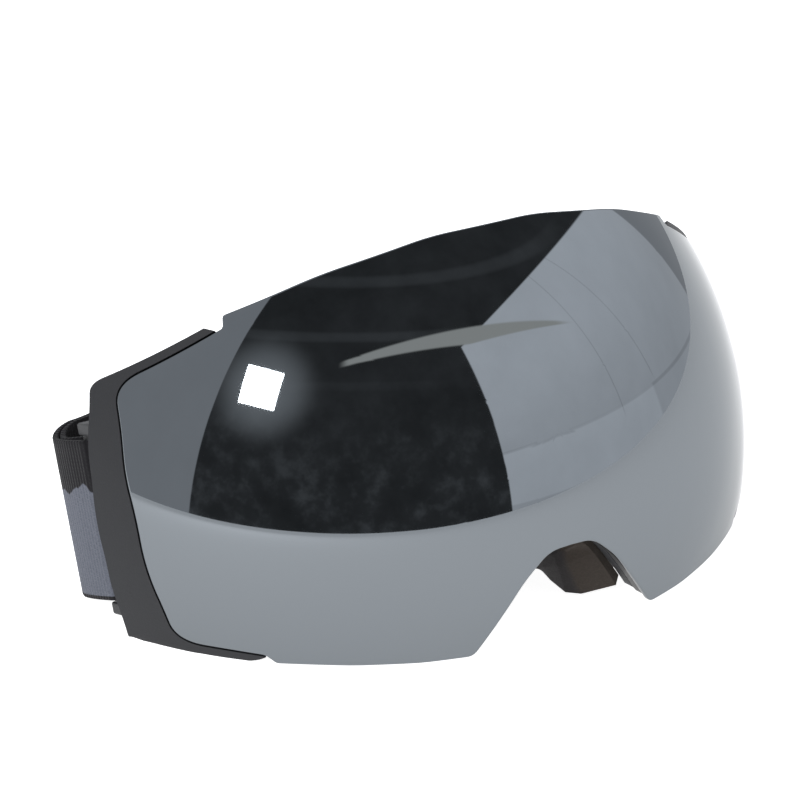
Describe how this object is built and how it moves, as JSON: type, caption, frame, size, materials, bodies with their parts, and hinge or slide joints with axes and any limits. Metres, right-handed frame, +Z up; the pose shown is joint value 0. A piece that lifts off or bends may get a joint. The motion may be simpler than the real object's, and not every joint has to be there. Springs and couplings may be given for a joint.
{
  "type": "ski goggles",
  "caption": "Frameless ski goggles with a mirrored spherical lens on magnets, layered face foam, a wide nose notch and an elastic strap with sliders.",
  "frame": {"origin": "middle of the goggles' footprint with the strap folded in behind the foam, on the table they stand on", "axes": "+X to the wearer's left, +Y to the back of the wearer's head, +Z up; the lens faces -Y and leans back 19.4 degrees"},
  "size_m": [0.1798, 0.098, 0.0884],
  "materials": {
    "mirror_lens": "silver mirror coat on a dark polycarbonate lens",
    "clear_lens": "clear anti-fog inner lens",
    "dark_plastic": "matte charcoal moulded frame",
    "black_plastic": "satin black",
    "black_flange": "soft satin black",
    "steel": "nickel plate",
    "foam": "open-cell foam and fleece",
    "strap": "woven elastic"
  },
  "bodies": {
    "frame": {"front_frame": "dark_plastic", "face_flange": "black_flange", "nose_pad": "foam", "top_vent_foam": "foam", "lower_vent_foam_left": "foam", "lower_vent_foam_right": "foam", "face_foam_firm": "foam", "face_foam_soft": "foam", "face_fleece": "foam", "frame_magnet_1": "steel", "frame_magnet_2": "steel", "frame_magnet_3": "steel", "frame_magnet_4": "steel", "frame_magnet_5": "steel", "frame_magnet_6": "steel", "frame_magnet_7": "steel", "frame_magnet_8": "steel", "strap_bar_left": "steel", "strap_bar_right": "steel", "strap_band": "strap", "strap_return_left": "strap", "strap_return_right": "strap"},
    "lens": {"outer_lens": "mirror_lens", "inner_lens": "clear_lens", "lens_carrier": "black_plastic", "lens_spacer_seal": "foam", "lens_magnet_1": "steel", "lens_magnet_2": "steel", "lens_magnet_3": "steel", "lens_magnet_4": "steel", "lens_magnet_5": "steel", "lens_magnet_6": "steel", "lens_magnet_7": "steel", "lens_magnet_8": "steel"},
    "slider_left": {"slider_left": "black_plastic", "strap_tail_left": "strap"},
    "slider_right": {"slider_right": "black_plastic", "strap_tail_right": "strap"}
  },
  "joints": [
    {"name": "lens_release", "type": "slide", "parent": "frame", "child": "lens", "axis": [0, -0.9432, 0.3322], "range_m": [0, 0.07]},
    {"name": "slider_left_travel", "type": "slide", "parent": "frame", "child": "slider_left", "axis": [1, 0, 0], "range_m": [-0.01, 0.01]},
    {"name": "slider_right_travel", "type": "slide", "parent": "frame", "child": "slider_right", "axis": [1, 0, 0], "range_m": [-0.01, 0.01]}
  ]
}
